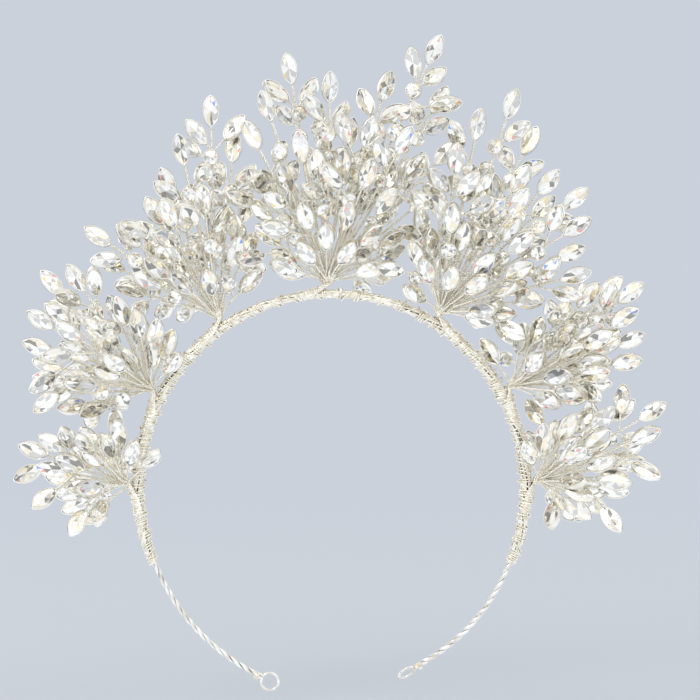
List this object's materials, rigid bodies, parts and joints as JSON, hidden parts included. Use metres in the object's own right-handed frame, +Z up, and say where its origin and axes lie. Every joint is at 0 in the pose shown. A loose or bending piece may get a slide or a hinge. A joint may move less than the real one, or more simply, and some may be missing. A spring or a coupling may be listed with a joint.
{
  "type": "bridal tiara",
  "caption": "Bridal tiara: a bound wire band, open at the back, with fanned sprays of clear navette and round crystals and springy twisted tails that end in pin loops.",
  "frame": {"origin": "centre of the circle that the band's centreline follows", "axes": "+Z up through the centre spray, +X to the right seen from the front, -Y to the front; the band lies in the XZ plane"},
  "size_m": [0.2235, 0.0539, 0.2237],
  "materials": {
    "crystal": "clear faceted, foil backed",
    "setting_metal": "bright silver plate",
    "stem_wire": "twisted silver craft wire",
    "binding_wire": "fine silver craft wire",
    "band_wire": "bright silver wire"
  },
  "bodies": {
    "crown": {"band_core": "band_wire", "left_bundle": "stem_wire", "left_binding": "binding_wire", "right_bundle": "stem_wire", "right_binding": "binding_wire", "lower_left_neck": "stem_wire", "lower_left_stems": "stem_wire", "lower_left_stalks": "stem_wire", "lower_left_navettes": "crystal", "lower_left_navette_settings": "setting_metal", "lower_left_chatons": "crystal", "lower_left_chaton_settings": "setting_metal", "middle_left_neck": "stem_wire", "middle_left_stems": "stem_wire", "middle_left_stalks": "stem_wire", "middle_left_navettes": "crystal", "middle_left_navette_settings": "setting_metal", "middle_left_chatons": "crystal", "middle_left_chaton_settings": "setting_metal", "upper_left_neck": "stem_wire", "upper_left_stems": "stem_wire", "upper_left_stalks": "stem_wire", "upper_left_navettes": "crystal", "upper_left_navette_settings": "setting_metal", "upper_left_chatons": "crystal", "upper_left_chaton_settings": "setting_metal", "centre_neck": "stem_wire", "centre_stems": "stem_wire", "centre_stalks": "stem_wire", "centre_navettes": "crystal", "centre_navette_settings": "setting_metal", "centre_chatons": "crystal", "centre_chaton_settings": "setting_metal", "upper_right_neck": "stem_wire", "upper_right_stems": "stem_wire", "upper_right_stalks": "stem_wire", "upper_right_navettes": "crystal", "upper_right_navette_settings": "setting_metal", "upper_right_chatons": "crystal", "upper_right_chaton_settings": "setting_metal", "middle_right_neck": "stem_wire", "middle_right_stems": "stem_wire", "middle_right_stalks": "stem_wire", "middle_right_navettes": "crystal", "middle_right_navette_settings": "setting_metal", "middle_right_chatons": "crystal", "middle_right_chaton_settings": "setting_metal", "lower_right_neck": "stem_wire", "lower_right_stems": "stem_wire", "lower_right_stalks": "stem_wire", "lower_right_navettes": "crystal", "lower_right_navette_settings": "setting_metal", "lower_right_chatons": "crystal", "lower_right_chaton_settings": "setting_metal"},
    "left_tail": {"left_tail_wires": "band_wire", "left_end_loop": "band_wire", "left_loop_tie": "binding_wire"},
    "right_tail": {"right_tail_wires": "band_wire", "right_end_loop": "band_wire", "right_loop_tie": "binding_wire"}
  },
  "joints": [
    {"name": "left_tail_flex", "type": "hinge", "parent": "crown", "child": "left_tail", "pos_m": [-0.06075, 0, -0.02579], "axis": [0, 1, 0], "range_deg": [-10, 20], "stiffness_Nm_per_rad": 0.25},
    {"name": "right_tail_flex", "type": "hinge", "parent": "crown", "child": "right_tail", "pos_m": [0.06075, 0, -0.02579], "axis": [0, -1, 0], "range_deg": [-10, 20], "stiffness_Nm_per_rad": 0.25}
  ]
}
